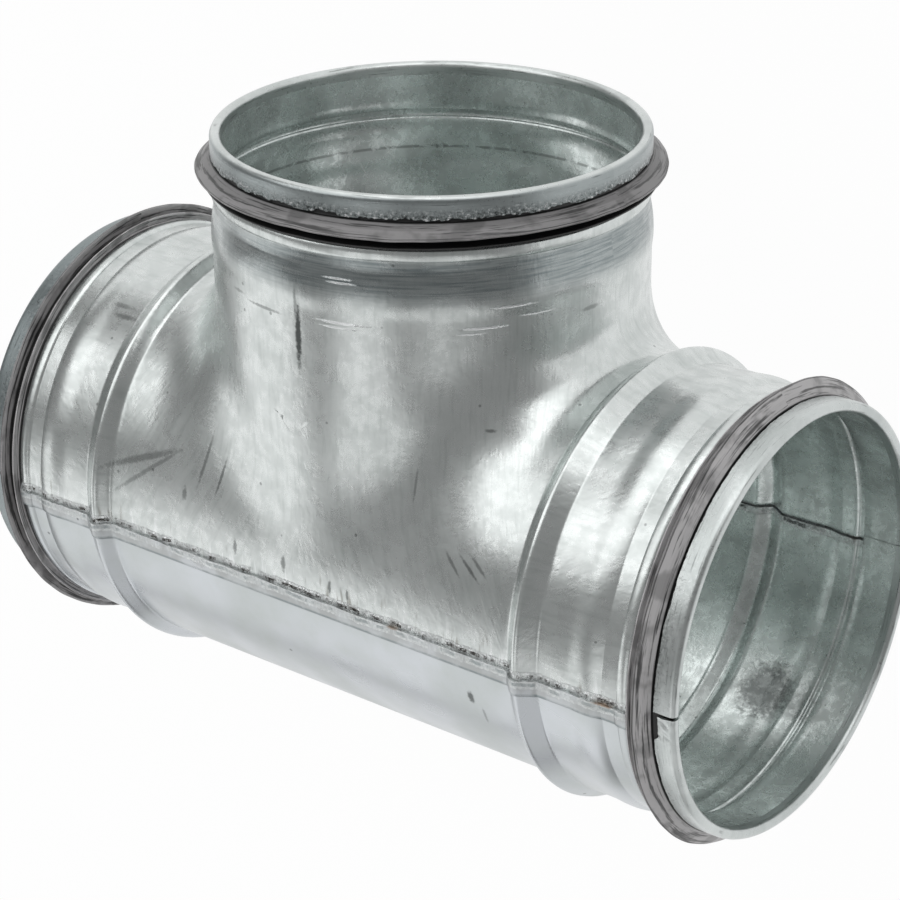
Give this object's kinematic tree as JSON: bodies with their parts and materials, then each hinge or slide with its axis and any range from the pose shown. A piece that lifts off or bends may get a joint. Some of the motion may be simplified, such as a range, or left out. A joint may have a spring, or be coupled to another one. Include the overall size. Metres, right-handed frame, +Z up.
{
  "type": "spiral duct tee",
  "caption": "Equal tee for round ventilation duct in galvanised sheet, with a drawn side branch, stop beads and double-lip rubber seals on its spigots.",
  "frame": {"origin": "crossing of the centrelines of the run and the branch", "axes": "+X along the run towards its right end, +Y along the branch towards its open end, +Z up as the tee lies on its three seals, towards the side where the lower half laps outside the upper half"},
  "size_m": [0.2, 0.1458, 0.1056],
  "materials": {
    "galvanised_sheet": "hot-dip galvanised sheet, fine spangle, satin",
    "seal_rubber": "moulded black rubber, matte, lightly dusty"
  },
  "bodies": {
    "root": {"upper_shell": "galvanised_sheet", "lower_shell": "galvanised_sheet", "gasket_left": "seal_rubber", "gasket_right": "seal_rubber", "gasket_branch": "seal_rubber"}
  },
  "joints": []
}
